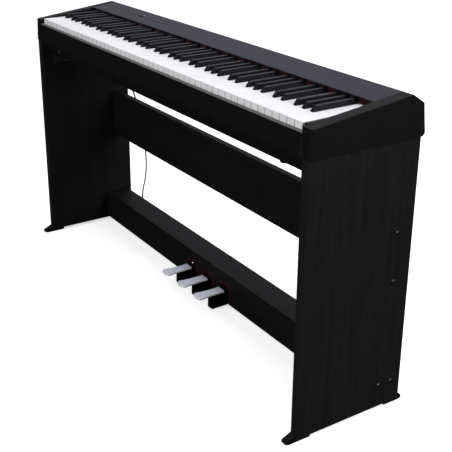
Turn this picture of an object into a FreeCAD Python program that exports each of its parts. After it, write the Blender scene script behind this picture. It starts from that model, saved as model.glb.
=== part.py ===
import FreeCAD, Part
import math
import os

os.makedirs("parts", exist_ok=True)
V = FreeCAD.Vector

# Digital piano on a board stand. Units are millimetres. X runs along the keyboard towards the
# treble end, Y runs from the player to the back, Z is up. The origin is on the floor under the
# middle of the whole object.

# ---------------------------------------------------------------- driving dimensions
overall_length = 1300.0
case_depth = 292.0
panel_depth = 284.0
panel_thick = 22.0
panel_top = 622.0
foot_height = 8.0
toe_reach = 27.0
heel_reach = 14.0
white_pitch = 23.5
white_count = 52
key_dip = 10.0
pedal_pitch = 83.0
cable_diameter = 4.5

# ---------------------------------------------------------------- values that follow from them
panel_front = -(panel_depth + toe_reach + heel_reach) / 2 + toe_reach
panel_rear = panel_front + panel_depth
panel_outer = overall_length / 2 - 4.0
panel_inner = panel_outer - panel_thick
case_front = panel_front - 1.2
wall = 3.0

key_field = white_pitch * white_count
key_gap = 1.0
key_front = case_front + 10.0
key_top = panel_top + 65.0
key_end = key_front + 226.0
key_left = -key_field / 2

end_inner = key_field / 2 + 10.0
end_height = 60.5
rib_xs = [share * end_inner for share in (-0.926, -0.531, -0.032, 0.531, 0.926)]
case_lean = 3.0
ridge_back = case_depth - 40.5
ridge_height = 90.3
top_slope = (ridge_height - end_height) / (ridge_back - case_lean)
chamfer_back = case_depth - 10.6
chamfer_height = 70.5
skirt_height = 6.0
skirt_back = case_depth - 1.0
skirt_foot = case_depth - 7.0
belly_drop = 37.0
belly_half = panel_inner - 4.0
belly_bottom = panel_top - belly_drop
front_bottom = panel_top


# ---------------------------------------------------------------- helpers
def box(x0, x1, y0, y1, z0, z1):
    return Part.makeBox(x1 - x0, y1 - y0, z1 - z0, V(x0, y0, z0))


def prism(points, x0, x1):
    """Extrude a closed outline of (y, z) points along X."""
    loop = [V(x0, y, z) for y, z in points]
    face = Part.Face(Part.makePolygon(loop + [loop[0]]))
    return face.extrude(V(x1 - x0, 0, 0))


def rod_x(x0, x1, y, z, radius):
    return Part.makeCylinder(radius, x1 - x0, V(x0, y, z), V(1, 0, 0))


def rod_z(x, y, z0, z1, radius):
    return Part.makeCylinder(radius, z1 - z0, V(x, y, z0), V(0, 0, 1))


def fuse_all(shapes):
    return shapes[0].multiFuse(shapes[1:]).removeSplitter() if len(shapes) > 1 else shapes[0]


def save(name, *solids):
    """Write one node: one solid, or a group of separate solids."""
    shape = solids[0] if len(solids) == 1 else Part.makeCompound(list(solids))
    shape.exportStep("parts/%s.step" % name)
    print("%-22s solids %3d  volume %.1f cm3" % (name, len(shape.Solids), shape.Volume / 1000))


def case_point(depth, height):
    """A point of the case section: depth behind its front edge, height above the side panels."""
    return (case_front + depth, panel_top + height)


def slope_height(y):
    """Height of the sloping top surface at a given y."""
    return panel_top + end_height + (y - case_front - case_lean) * top_slope


def mirrored(shape):
    return shape.mirror(V(0, 0, 0), V(1, 0, 0))


# ---------------------------------------------------------------- stand: side panels and feet
panel_round = 1.5


def side_panel():
    board = box(panel_inner, panel_outer, panel_front, panel_rear, foot_height, panel_top)
    upright = [e for e in board.Edges if abs(e.tangentAt(e.FirstParameter).z) > 0.9]
    return board.makeFillet(panel_round, upright)


foot_inset = 3.0
foot_wedge = 20.0
foot_run = 38.0
foot_lip = 4.0
foot_slant = 9.0
foot_corner = 3.0


def foot(edge_y, reach, outward):
    """One moulded foot. It runs under the panel and rises as a wedge against the panel's edge."""
    def at(distance):
        return edge_y + outward * distance

    nose = 0.45 * foot_height
    outline = [
        (at(-foot_run), 0.0),
        (at(reach - foot_slant), 0.0),
        (at(reach), nose),
        (at(reach), nose + foot_lip),
        (at(0.0), foot_wedge),
        (at(0.0), foot_height),
        (at(-foot_run), foot_height),
    ]
    shape = prism(outline, panel_inner + foot_inset, panel_outer - foot_inset)
    tip = [e for e in shape.Edges if abs(e.CenterOfMass.y - at(reach)) < 0.1
           and abs(e.tangentAt(e.FirstParameter).z) > 0.9]
    return shape.makeFillet(foot_corner, tip)


# ---------------------------------------------------------------- stand: back rail and pedal beam
rail_thick = 18.0
rail_rear = panel_rear - 35.0
rail_front = rail_rear - rail_thick
rail_bottom = 292.0
rail_top = 435.0

beam_rear = panel_rear - 17.0
beam_front = beam_rear - 72.0
beam_bottom = foot_height + 2.0
beam_top = 99.0
beam_lid = 22.0
beam_board = 15.0
beam_back = 12.0
beam_step = 2.5
lid_bottom = beam_top - beam_lid
block_thick = 20.0
block_end = panel_inner - block_thick

pedal_centre = -11.0
pedal_xs = [pedal_centre + pedal_pitch * step for step in (-1, 0, 1)]
felt_thick = 5.0
slot_half = 28.0
slot_top = 66.0
slot_round = 12.0


def arch(x, half, top, radius, y0, y1, z0):
    """An upright slab with rounded upper corners, for a pedal slot."""
    slab = box(x - half, x + half, y0, y1, z0, top)
    upper = [e for e in slab.Edges if abs(e.CenterOfMass.z - top) < 0.1
             and abs(e.tangentAt(e.FirstParameter).y) > 0.9]
    return slab.makeFillet(radius, upper)


def beam_front_board():
    y0 = beam_front + beam_step
    board = box(-panel_inner, panel_inner, y0, y0 + beam_board, beam_bottom, lid_bottom)
    for x in pedal_xs:
        board = board.cut(arch(x, slot_half, slot_top, slot_round, y0 - 1, y0 + beam_board + 1,
                               beam_bottom - 1))
    return board


def slot_felt(x):
    y0 = beam_front + beam_step - 0.5
    y1 = beam_front + beam_step + beam_board
    outer = arch(x, slot_half, slot_top, slot_round, y0, y1, beam_bottom)
    inner = arch(x, slot_half - felt_thick, slot_top - felt_thick, slot_round - felt_thick,
                 y0 - 1, y1 + 1, beam_bottom - 1)
    return outer.cut(inner)


block_front = beam_front + beam_step + beam_board
screw_beam_z = 61.5
screw_beam_ys = (block_front + 8.0, beam_rear - 11.5)
screw_rail_y = (rail_front + rail_rear) / 2
screw_rail_zs = (rail_bottom + 17.0, rail_top - 14.5)
screw_radius = 3.2
screw_head = 6.5
screw_rim = 1.0
screw_dome = 2.0
screw_socket = 2.2
screw_length = panel_thick + block_thick - 1.0


def screw_places():
    beam = [(y, screw_beam_z) for y in screw_beam_ys]
    return beam + [(screw_rail_y, z) for z in screw_rail_zs]


def panel_screw(y, z):
    """A furniture screw seen from the right: domed head outside, shank through to the board end."""
    shank = rod_x(panel_outer - screw_length, panel_outer, y, z, screw_radius)
    head = rod_x(panel_outer, panel_outer + screw_rim, y, z, screw_head)
    dome = Part.makeCone(screw_head, 2 * screw_dome, screw_dome, V(panel_outer + screw_rim, y, z),
                         V(1, 0, 0))
    socket = rod_x(panel_outer + 0.8, panel_outer + 4.0, y, z, screw_socket)
    return fuse_all([shank, head, dome]).cut(socket)


def with_screw_holes(shape):
    """Cut the right-hand screw holes, and their mirror images, out of a board."""
    for y, z in screw_places():
        hole = rod_x(panel_outer - screw_length - 0.5, panel_outer + 1, y, z, screw_radius)
        shape = shape.cut(hole).cut(mirrored(hole))
    return shape


# ---------------------------------------------------------------- stand: case brackets
bracket_ys = (panel_front + 55.0, panel_rear - 60.0)
bracket_width = 40.0
bracket_leg = 36.0
bracket_thick = 2.5


def case_bracket(y):
    y0 = y - bracket_width / 2
    y1 = y + bracket_width / 2
    upright = box(panel_inner - bracket_thick, panel_inner, y0, y1, belly_bottom - bracket_leg,
                  belly_bottom)
    shelf = box(panel_inner - bracket_leg, panel_inner, y0, y1, belly_bottom - bracket_thick,
                belly_bottom)
    return fuse_all([upright, shelf])


case_screw_x = panel_inner - 22.0
thumb_radius = 8.0
thumb_height = 8.0
thumb_shank = 3.0


def case_screw(y):
    """A thumb screw up through the bracket's shelf into the belly pan."""
    top = belly_bottom + wall
    shank = rod_z(case_screw_x, y, belly_bottom - bracket_thick - 0.1, top + 6.0, thumb_shank)
    head = rod_z(case_screw_x, y, belly_bottom - bracket_thick - thumb_height,
                 belly_bottom - bracket_thick, thumb_radius)
    return fuse_all([shank, head])


def screw_hole(y):
    return rod_z(case_screw_x, y, belly_bottom - bracket_thick - 1, belly_bottom + 20.0,
                 thumb_shank)


# ---------------------------------------------------------------- pedal unit
pivot_y = beam_front + 44.5
pivot_z = 45.0
pin_radius = 3.0
pin_clearance = 0.06
spatula_top = 51.5
spatula_thick = 6.0
spatula_end = beam_front - 7.0
pedal_tip = beam_front - 88.0
tip_half = 19.0
tip_curve = 5.0
tip_corner = 8.0
waist_half = 13.5
end_half = 14.5
waist_y = (pedal_tip + 2 * spatula_end) / 3
rim_radius = 1.8
arm_half = 12.0
arm_bottom = 40.0
arm_top = 49.0
arm_end = pivot_y + 7.5
chassis_z0 = beam_bottom
chassis_z1 = beam_bottom + 2.0
ear_thick = 2.5
ear_gap = 0.6
sensor_bottom = 36.0


def spatula(x):
    """The flat silver part: broad blunt tip with rounded corners, hollowed sides, square end."""
    front = pedal_tip + tip_curve
    left_tip = V(x - tip_half, front, 0)
    right_tip = V(x + tip_half, front, 0)
    left_end = V(x - end_half, spatula_end, 0)
    right_end = V(x + end_half, spatula_end, 0)
    outline = Part.Wire([
        Part.Arc(left_tip, V(x, pedal_tip, 0), right_tip).toShape(),
        Part.Arc(right_tip, V(x + waist_half, waist_y, 0), right_end).toShape(),
        Part.makeLine(right_end, left_end),
        Part.Arc(left_end, V(x - waist_half, waist_y, 0), left_tip).toShape(),
    ])
    body = Part.Face(outline).extrude(V(0, 0, spatula_thick))
    body.translate(V(0, 0, spatula_top - spatula_thick))
    corners = [e for e in body.Edges if e.CenterOfMass.y < front + 0.1
               and abs(e.tangentAt(e.FirstParameter).z) > 0.9]
    body = body.makeFillet(tip_corner, corners)
    rim = [e for e in body.Edges if abs(e.CenterOfMass.z - spatula_top) < 0.1
           and e.CenterOfMass.y < spatula_end - 1]
    return body.makeFillet(rim_radius, rim)


def pedal(x):
    under = spatula_top - spatula_thick
    arm = prism([
        (spatula_end - 16.0, under + 0.5),
        (spatula_end - 16.0, under),
        (spatula_end + 6.0, arm_bottom),
        (arm_end, arm_bottom),
        (arm_end, arm_top),
        (spatula_end - 2.0, arm_top),
        (spatula_end - 2.0, under + 0.5),
    ], x - arm_half, x + arm_half)
    body = fuse_all([spatula(x), arm])
    return body.cut(rod_x(x - 20, x + 20, pivot_y, pivot_z, pin_radius + pin_clearance))


def ear_xs(x):
    return (x - arm_half - ear_gap - ear_thick, x + arm_half + ear_gap)


def pedal_chassis():
    """Steel plate on the beam's open bottom with a pair of ears for each pivot pin."""
    base = box(pedal_xs[0] - 40, pedal_xs[2] + 40, block_front, beam_rear - beam_back,
               chassis_z0, chassis_z1)
    parts = [base]
    for x in pedal_xs:
        for x0 in ear_xs(x):
            parts.append(box(x0, x0 + ear_thick, pivot_y - 7, pivot_y + 7, chassis_z1 - 1,
                             pivot_z + 7))
    flange = box(pedal_xs[0] - 40, pedal_xs[2] + 40, beam_rear - beam_back - 2.0,
                 beam_rear - beam_back, chassis_z0, sensor_bottom - 1.0)
    body = fuse_all(parts + [flange])
    for x in pedal_xs:
        body = body.cut(rod_x(x - 20, x + 20, pivot_y, pivot_z, pin_radius))
    return body


def pivot_pin(x):
    reach = arm_half + ear_gap + ear_thick + 1.5
    return rod_x(x - reach, x + reach, pivot_y, pivot_z, pin_radius)


rib_half = 6.0
rib_front = beam_front - 46.0
rib_top = 35.0
rib_bottom = 1.5
rib_round = 10.0


def pedal_support(x):
    """Upright rib below a pedal: it stops the pedal's travel and stands just off the floor."""
    fin = box(x - rib_half, x + rib_half, rib_front, block_front, rib_bottom, rib_top)
    toe_edge = [e for e in fin.Edges if e.CenterOfMass.z < rib_bottom + 0.1
                and e.CenterOfMass.y < rib_front + 0.1]
    fin = fin.makeFillet(rib_round, toe_edge)
    tail = box(x - rib_half, x + rib_half, block_front - 2, block_front + 5, chassis_z1, 30.0)
    return fuse_all([fin, tail])


spring_y = pivot_y - 14.0
spring_radius = 5.0
spring_wire = 0.8
spring_turns = 5


def pedal_spring(x):
    """Compression spring between the chassis plate and the pedal arm."""
    low = chassis_z1 + spring_wire + 0.1
    high = arm_bottom - spring_wire - 0.2
    helix = Part.makeHelix((high - low) / spring_turns, high - low, spring_radius)
    helix.translate(V(x, spring_y, low))
    start = V(x + spring_radius, spring_y, low)
    ring = Part.Wire(Part.makeCircle(spring_wire, start, V(0, 1, 0.15)))
    return Part.Wire(helix.Edges).makePipeShell([ring], True, True)


def sensor_board():
    """Circuit board on the beam's rear board, with one sensor behind each pedal arm."""
    back = beam_rear - beam_back
    board = box(pedal_xs[0] - 30, pedal_xs[2] + 30, back - 1.6, back, sensor_bottom, 70.0)
    parts = [board]
    for x in pedal_xs:
        parts.append(box(x - 6, x + 6, back - 4.5, back - 1, 40.0, 52.0))
    return fuse_all(parts)


# ---------------------------------------------------------------- pedal cable, plug and strain relief
cable_x = -panel_inner + 84.0
plug_y = case_front + 224.0
plug_body = 18.0
plug_taper = 10.0
plug_radius = 6.0
plug_pin = 4.0
socket_radius = 8.0
plug_end = belly_bottom - plug_body - plug_taper
relief_y = beam_rear + 14.5
relief_top = 80.0


def cable_points():
    """Route in the plane x = cable_x: down from the plug, back behind the rail, down to the beam."""
    drop = plug_end - relief_top
    shares = [
        (0.000, 0.000),
        (0.000, 0.063),
        (0.240, 0.143),
        (0.612, 0.224),
        (0.832, 0.330),
        (1.018, 0.440),
        (1.170, 0.554),
        (1.271, 0.667),
        (1.288, 0.774),
        (1.186, 0.862),
        (1.000, 0.938),
        (1.000, 1.000),
    ]
    span = relief_y - plug_y
    return [V(cable_x, plug_y + across * span, plug_end - down * drop) for across, down in shares]


def rounded_wire(points):
    """Straight runs joined by tangent arcs; also returns the arc radii."""
    edges = []
    radii = []
    start = points[0]
    for before, corner, after in zip(points, points[1:], points[2:]):
        into = corner - before
        out = after - corner
        turn = into.getAngle(out)
        radius = 0.45 * min(into.Length, out.Length) / math.tan(turn / 2)
        trim = radius * math.tan(turn / 2)
        into.normalize()
        out.normalize()
        first = corner - into * trim
        last = corner + out * trim
        inward = out - into
        inward.normalize()
        bulge = radius / math.cos(turn / 2) - radius
        edges.append(Part.LineSegment(start, first).toShape())
        edges.append(Part.Arc(first, corner + inward * bulge, last).toShape())
        radii.append(radius)
        start = last
    edges.append(Part.LineSegment(start, points[-1]).toShape())
    return Part.Wire(edges), radii


def pedal_cable():
    points = cable_points()
    wire, radii = rounded_wire(points)
    ring = Part.Wire(Part.makeCircle(cable_diameter / 2, points[0], points[1] - points[0]))
    tube = wire.makePipeShell([ring], True, False)
    section = math.pi * cable_diameter ** 2 / 4
    print("cable length %.1f mm, radii %s" % (wire.Length, [round(r) for r in radii]))
    print("cable volume %.1f against section x length %.1f" % (tube.Volume, section * wire.Length))
    return tube


def pedal_plug():
    pin = rod_z(cable_x, plug_y, belly_bottom - 1, belly_bottom + 12, plug_pin)
    body = rod_z(cable_x, plug_y, belly_bottom - plug_body, belly_bottom, plug_radius)
    boot = Part.makeCone(cable_diameter / 2 + 0.8, plug_radius - 1.5, plug_taper,
                         V(cable_x, plug_y, plug_end), V(0, 0, 1))
    return fuse_all([pin, body, boot])


def pedal_socket():
    barrel = rod_z(cable_x, plug_y, belly_bottom, belly_bottom + 26, socket_radius)
    flange = rod_z(cable_x, plug_y, belly_bottom + wall, belly_bottom + wall + 2, socket_radius + 3)
    bore = rod_z(cable_x, plug_y, belly_bottom - 1, belly_bottom + 14, plug_pin + 0.1)
    return fuse_all([barrel, flange]).cut(bore)


def cable_gland():
    """Right-angle strain relief on the beam's rear board. The cable enters from above."""
    elbow = box(cable_x - 8, cable_x + 8, beam_rear, relief_y + 8, relief_top - 26, relief_top)
    outer = [e for e in elbow.Edges if e.CenterOfMass.y > relief_y + 7]
    elbow = elbow.makeFillet(3.0, outer)
    spigot = Part.makeCylinder(6.0, beam_back + 3, V(cable_x, beam_rear - beam_back - 2,
                                                     relief_top - 13), V(0, 1, 0))
    return fuse_all([elbow, spigot])


def beam_rear_board():
    board = box(-block_end, block_end, beam_rear - beam_back, beam_rear, beam_bottom + 20,
                lid_bottom)
    hole = Part.makeCylinder(6.0, beam_back + 2, V(cable_x, beam_rear - beam_back - 1,
                                                   relief_top - 13), V(0, 1, 0))
    return board.cut(hole)


# ---------------------------------------------------------------- case shell
front_round = 5.0
outer_round = 1.2


def end_block():
    outline = [
        case_point(0.0, 0.0),
        case_point(case_lean, end_height),
        case_point(ridge_back, ridge_height),
        case_point(chamfer_back, chamfer_height),
        case_point(skirt_back, skirt_height),
        case_point(skirt_foot, 0.0),
    ]
    block = prism(outline, end_inner, overall_length / 2)
    outer = overall_length / 2 - 0.01
    corner = [e for e in block.Edges if e.CenterOfMass.y < case_front + case_lean
              and abs(e.tangentAt(e.FirstParameter).z) > 0.9 and e.CenterOfMass.x > outer]
    block = block.makeFillet(front_round, corner)
    edges = [e for e in block.Edges if e.CenterOfMass.x > outer
             and e.CenterOfMass.z > panel_top + end_height + outer_round]
    return block.makeFillet(outer_round, edges)


def top_panel_section():
    lip_y, lip_z = case_point(lip_depth, 0.0)
    ridge = case_point(ridge_back, ridge_height)
    corner = case_point(chamfer_back, chamfer_height)
    return [
        (lip_y, slope_height(lip_y) - lip_height),
        (lip_y, slope_height(lip_y)),
        ridge,
        corner,
        (corner[0] - wall, corner[1] - 2.0),
        (ridge[0] - 1.0, slope_height(ridge[0] - 1.0) - wall),
        (lip_y + wall, slope_height(lip_y + wall) - wall),
        (lip_y + wall, slope_height(lip_y) - lip_height),
    ]


lip_depth = 176.0
lip_height = 3.2
panel_depth_mark = lip_depth + 40.0


def on_top(x, length, width, height, sink):
    """A block whose outer face stands `height` above the sloping top at depth panel_depth_mark."""
    y = case_front + panel_depth_mark
    block = Part.makeBox(length, width, height + sink, V(x, y - width / 2, slope_height(y) - sink))
    block.rotate(V(0, y, slope_height(y)), V(1, 0, 0), math.degrees(math.atan(top_slope)))
    return block


button_width = 7.0
power_x = -end_inner + 158.0
power_length = 26.0
slider_x = -end_inner + 206.0
slider_slot = 42.0
slider_slot_width = 3.0
row_x = -end_inner + 261.0
row_length = 98.0
row_count = 4
row_gap = 3.0
button_fit = 0.4
button_proud = 0.8
cut_through = 5.0
flange_gap = 0.3
flange_rim = 1.5


def row_buttons():
    pitch = row_length / row_count
    return [(row_x + pitch * i, pitch - row_gap) for i in range(row_count)]


def top_panel():
    body = prism(top_panel_section(), -end_inner, end_inner)
    windows = [(power_x, power_length)] + row_buttons()
    for x, length in windows:
        body = body.cut(on_top(x - button_fit, length + 2 * button_fit,
                               button_width + 2 * button_fit, cut_through, cut_through))
    return body.cut(on_top(slider_x, slider_slot, slider_slot_width, cut_through, cut_through))


def button(x, length):
    """A cap through the top panel with a flange just below the panel."""
    cap = on_top(x, length, button_width, button_proud, wall + button_proud)
    flange = on_top(x - 1.0, length + 2.0, button_width + 2 * flange_rim, -(wall + flange_gap),
                    wall + flange_gap + flange_rim)
    return fuse_all([cap, flange])


slider_cap = 8.0
slider_rise = 2.5
slider_blade = 6.0
slider_lift = 0.2


def volume_slider():
    """A low cap that runs on the panel, with a blade down through the slot."""
    middle = slider_x + slider_slot / 2
    blade_x = middle - slider_blade / 2
    cap = on_top(middle - slider_cap / 2, slider_cap, slider_cap + 1.0, slider_rise, -slider_lift)
    blade = on_top(blade_x, slider_blade, slider_slot_width - 2 * button_fit, 1.0, wall + 2.0)
    foot_plate = on_top(blade_x, slider_blade, slider_cap, -(wall + flange_gap),
                        wall + flange_gap + flange_rim)
    return fuse_all([cap, blade, foot_plate])


slip_start = (2.4, 47.5)
slip_back = 7.0
slip_height = 51.5


def front_panel():
    """Front face under the keys with the slanted key slip along its top."""
    outline = [
        case_point(0.0, 0.0),
        case_point(*slip_start),
        case_point(slip_back, slip_height),
        case_point(slip_back, slip_height - wall),
        case_point(slip_start[0] + wall, slip_start[1] - wall / 2),
        case_point(wall, 0.0),
    ]
    return prism(outline, -end_inner, end_inner)


def rear_panel():
    corner = case_point(chamfer_back, chamfer_height)
    outline = [
        corner,
        case_point(skirt_back, skirt_height),
        case_point(skirt_back - wall, 0.0),
        case_point(skirt_foot - wall, 0.0),
        case_point(skirt_foot - 1.0, skirt_height),
        (corner[0] - wall, corner[1] - 2.0),
    ]
    panel = prism(outline, -end_inner, end_inner)
    return panel.cut(inlet_body(5.0))


bevel_depth = 23.0
headphone_x = -end_inner + 107.0


def belly_outline(inset):
    rear = case_front + skirt_foot
    return [
        (case_front + inset, front_bottom),
        (case_front + bevel_depth + inset * 0.5, belly_bottom + inset),
        (rear - bevel_depth - inset * 0.5, belly_bottom + inset),
        (rear - inset * 1.25, front_bottom),
    ]


speaker_x = (rib_xs[3] + rib_xs[4]) / 2
speaker_y = case_front + 150.0
speaker_radius = 55.0
grille_pitch = 14.0
grille_half = 32.0
grille_slot = 4.0
board_x = (rib_xs[1] + 90.0, rib_xs[2] - 40.0)
board_y = (case_front + 70.0, case_front + 190.0)
boss_height = 8.0
boss_inset = 8.0
boss_radius = 4.0


def board_posts():
    """A post under each corner of the main circuit board."""
    spots = [(x, y) for x in (board_x[0] + boss_inset, board_x[1] - boss_inset)
             for y in (board_y[0] + boss_inset, board_y[1] - boss_inset)]
    base = belly_bottom + wall
    return [rod_z(x, y, base - 0.5, base + boss_height, boss_radius) for x, y in spots]


def belly_pan():
    pan = prism(belly_outline(0.0), -belly_half, belly_half)
    pan = pan.cut(prism(belly_outline(wall), -belly_half + wall, belly_half - wall))
    pan = fuse_all([pan] + board_posts())
    for side in (-1, 1):
        for step in range(-2, 3):
            y = speaker_y + grille_pitch * step - grille_slot / 2
            pan = pan.cut(box(side * speaker_x - grille_half, side * speaker_x + grille_half, y,
                              y + grille_slot, belly_bottom - 1, belly_bottom + wall + 1))
        for y in bracket_ys:
            hole = screw_hole(y)
            pan = pan.cut(hole if side > 0 else mirrored(hole))
    pan = pan.cut(rod_z(cable_x, plug_y, belly_bottom - 1, belly_bottom + wall + 1,
                        socket_radius))
    return pan.cut(headphone_barrel(headphone_radius, headphone_length + 4.0))


headphone_radius = 7.5
headphone_bore = 3.2
headphone_length = 26.0
headphone_proud = 0.8
headphone_blind = 20.0


def headphone_axis():
    """Middle of the front bevel and its outward direction."""
    outline = belly_outline(0.0)
    (y0, z0), (y1, z1) = outline[0], outline[1]
    normal = V(0, z1 - z0, y0 - y1)
    normal.normalize()
    return V(headphone_x, (y0 + y1) / 2, (z0 + z1) / 2), normal


def headphone_barrel(radius, length):
    place, normal = headphone_axis()
    return Part.makeCylinder(radius, length, place - normal * (length - headphone_proud), normal)


def headphone_socket():
    place, normal = headphone_axis()
    bore = Part.makeCylinder(headphone_bore, headphone_blind + 4.0, place - normal * headphone_blind,
                             normal)
    return headphone_barrel(headphone_radius, headphone_length).cut(bore)


inlet_x = -end_inner + 421.0
inlet_z = panel_top + 18.0
inlet_half = 6.0
inlet_depth = 14.0
inlet_bore_radius = 2.75
inlet_bore_depth = 9.0
inlet_pin_radius = 1.0


def rear_face(z):
    """How far back the rear panel's outer face lies at a height between its two bends."""
    share = (z - panel_top - skirt_height) / (chamfer_height - skirt_height)
    return case_front + skirt_back - share * (skirt_back - chamfer_back)


inlet_face = rear_face(inlet_z + inlet_half)


def inlet_body(proud):
    return box(inlet_x - inlet_half, inlet_x + inlet_half, inlet_face - inlet_depth,
               inlet_face + proud, inlet_z - inlet_half, inlet_z + inlet_half)


def dc_inlet():
    """Round power inlet for the adaptor lead: a block with a bore and a centre pin."""
    floor = inlet_face - inlet_bore_depth
    bore = Part.makeCylinder(inlet_bore_radius, inlet_bore_depth + 1.0, V(inlet_x, floor, inlet_z),
                             V(0, 1, 0))
    pin = Part.makeCylinder(inlet_pin_radius, inlet_bore_depth, V(inlet_x, floor - 1.0, inlet_z),
                            V(0, 1, 0))
    return fuse_all([inlet_body(0.0).cut(bore), pin])


basket_neck = 30.0
basket_height = 24.0
magnet_radius = 28.0
magnet_height = 14.0
cone_rim = 6.0


def speaker():
    """Round driver facing down on the grille: basket, magnet and the hollow of its cone."""
    base = belly_bottom + wall
    basket = Part.makeCone(speaker_radius, basket_neck, basket_height, V(speaker_x, speaker_y, base))
    magnet = rod_z(speaker_x, speaker_y, base + basket_height - 1,
                   base + basket_height + magnet_height, magnet_radius)
    hollow = Part.makeCone(speaker_radius - cone_rim, basket_neck - 10.0, basket_height - 4.0,
                           V(speaker_x, speaker_y, base - 0.01))
    return fuse_all([basket, magnet]).cut(hollow)


rubber_height = 9.0
rubber_radius = 11.0


def rubber_foot(x, y):
    base = V(x, y, belly_bottom - rubber_height)
    return Part.makeCone(rubber_radius - 2.0, rubber_radius, rubber_height, base, V(0, 0, 1))


# ---------------------------------------------------------------- keyboard
pivot_back = key_end - 10.0
pivot_height = key_top - 12.0
rod_radius = 2.0
rod_clearance = 0.06
plate_thick = 2.6
head_length = 55.5
black_width = 0.41 * white_pitch
black_slot = black_width + 2 * key_gap
black_front = key_front + 57.0
black_rise = 11.0
lever_drop = 19.0
white_lever = 0.38 * white_pitch
black_lever = 0.3 * white_pitch
deck_z0 = panel_top + 18.0
deck_z1 = deck_z0 + 3.0

# Steps inside an octave: C D E share one group of white keys, F G A B the other.
white_names = "CDEFGAB"
group_of = {"C": (0, 0), "D": (0, 1), "E": (0, 2), "F": (3, 0), "G": (3, 1), "A": (3, 2), "B": (3, 3)}


def white_list():
    """(name, octave, left edge of head) for the 52 white keys from A0 to C8."""
    keys = []
    for index in range(white_count):
        letter = white_names[(index + 5) % 7]
        octave = (index + 5) // 7
        keys.append((letter, octave, key_left + index * white_pitch))
    return keys


def group_tail(letter):
    """Width of a white key's tail: what the black keys leave of its group, shared out equally."""
    whites = 3 if letter in "CDE" else 4
    return (whites * white_pitch - (whites - 1) * black_slot) / whites


def tail_span(letter, left):
    """Left and right edge of the tail of a white key whose head begins at `left`."""
    place = group_of[letter][1]
    last = 2 if letter in "CDE" else 3
    group_left = left - place * white_pitch
    tail_left = group_left + place * (group_tail(letter) + black_slot)
    tail_right = tail_left + group_tail(letter)
    if place == 0:
        tail_left += key_gap / 2
    if place == last:
        tail_right -= key_gap / 2
    return tail_left, tail_right


def lever(x, width, front):
    """The bar under a key: it runs back to the pivot rod and turns on it."""
    z0 = key_top - lever_drop
    bar = box(x - width / 2, x + width / 2, front, key_end, z0, key_top - plate_thick)
    bar = bar.cut(box(x - width, x + width, lip_limit, key_end + 1, key_top - lip_step, key_top))
    return bar.cut(rod_x(x - width, x + width, pivot_back, pivot_height, rod_radius + rod_clearance))


lip_limit = case_front + lip_depth + 12.0
lip_step = 4.0
skirt_drop = 22.0
skirt_relief = 0.5
black_root = 8.0
black_slant = 8.0
black_round = 1.2


def white_key(letter, octave, left):
    head_left = left + key_gap / 2
    head_right = left + white_pitch - key_gap / 2
    tail_left, tail_right = tail_span(letter, left)
    if (letter, octave) == ("A", 0):
        tail_left = head_left
    if (letter, octave) == ("C", 8):
        tail_right = head_right
    shoulder = key_front + head_length
    low = key_top - plate_thick
    head = box(head_left, head_right, key_front, shoulder, low, key_top)
    tail = box(tail_left, tail_right, shoulder - 1, lip_limit, low, key_top)
    skirt = box(head_left, head_right, key_front, key_front + plate_thick, key_top - skirt_drop,
                key_top - skirt_relief)
    middle = (tail_left + tail_right) / 2
    return fuse_all([head, tail, skirt, lever(middle, white_lever, key_front + 1.0)])


def black_spans():
    """(name, octave, centre) for the 36 black keys."""
    keys = []
    for letter, octave, left in white_list():
        if letter in "CDFGA" and (letter, octave) != ("C", 8):
            keys.append((letter, octave, tail_span(letter, left)[1] + black_slot / 2))
    return keys


def black_key(centre):
    half = black_width / 2
    body = prism([
        (black_front, key_top - black_root),
        (black_front, key_top + 1.0),
        (black_front + black_slant, key_top + black_rise),
        (lip_limit, key_top + black_rise),
        (lip_limit, key_top - black_root),
    ], centre - half, centre + half)
    rims = [e for e in body.Edges if abs(e.CenterOfMass.z - key_top - black_rise) < 0.1
            and abs(e.CenterOfMass.x - centre) > half - 0.1]
    body = body.makeFillet(black_round, rims)
    return fuse_all([body, lever(centre, black_lever, black_front + 4.0)])


# ---------------------------------------------------------------- inside the keyboard
frame_half = end_inner - 0.5
frame_front = case_front + 15.0
frame_rear = key_end + 4.0
front_ledge = 12.0
ledge_front = frame_front + 10.0
ledge_rear = frame_front + 28.0
cheek_inner = key_field / 2 + 2.0
rear_ledge = panel_top + 42.5
ear_half = 1.5
ear_reach = 6.0
ear_above = 5.0
rib_wall = 4.0
felt_inset = 1.0
felt_gap = 0.3


def pivot_ears():
    """X positions of the ears that carry the pivot rod: both ends and each gap between B and C."""
    inner = [left for letter, octave, left in white_list() if letter == "C"]
    return [key_left - 2.5] + inner + [-key_left + 2.5]


def key_frame():
    deck = box(-frame_half, frame_half, frame_front, frame_rear, deck_z0, deck_z1)
    ledge = box(-frame_half, frame_half, ledge_front, ledge_rear, deck_z1 - 1,
                deck_z1 + front_ledge)
    rest = box(-frame_half, frame_half, key_end - 2, frame_rear, deck_z1 - 1, rear_ledge)
    parts = [deck, ledge, rest]
    floor = belly_bottom + wall
    for x in rib_xs:
        parts.append(box(x - rib_wall / 2, x + rib_wall / 2, frame_front + 25, frame_rear - 10,
                         floor, deck_z0 + 1))
    cheek = box(cheek_inner, frame_half, frame_front, lip_limit, deck_z1 - 1, key_top - 2.0)
    parts += [cheek, mirrored(cheek)]
    for x in pivot_ears():
        parts.append(box(x - ear_half, x + ear_half, pivot_back - ear_reach,
                         pivot_back + ear_reach, deck_z1 - 1, pivot_height + ear_above))
    body = fuse_all(parts)
    return body.cut(rod_x(-frame_half - 1, frame_half + 1, pivot_back, pivot_height, rod_radius))


def key_pivot_rod():
    return rod_x(-frame_half, frame_half, pivot_back, pivot_height, rod_radius)


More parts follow.
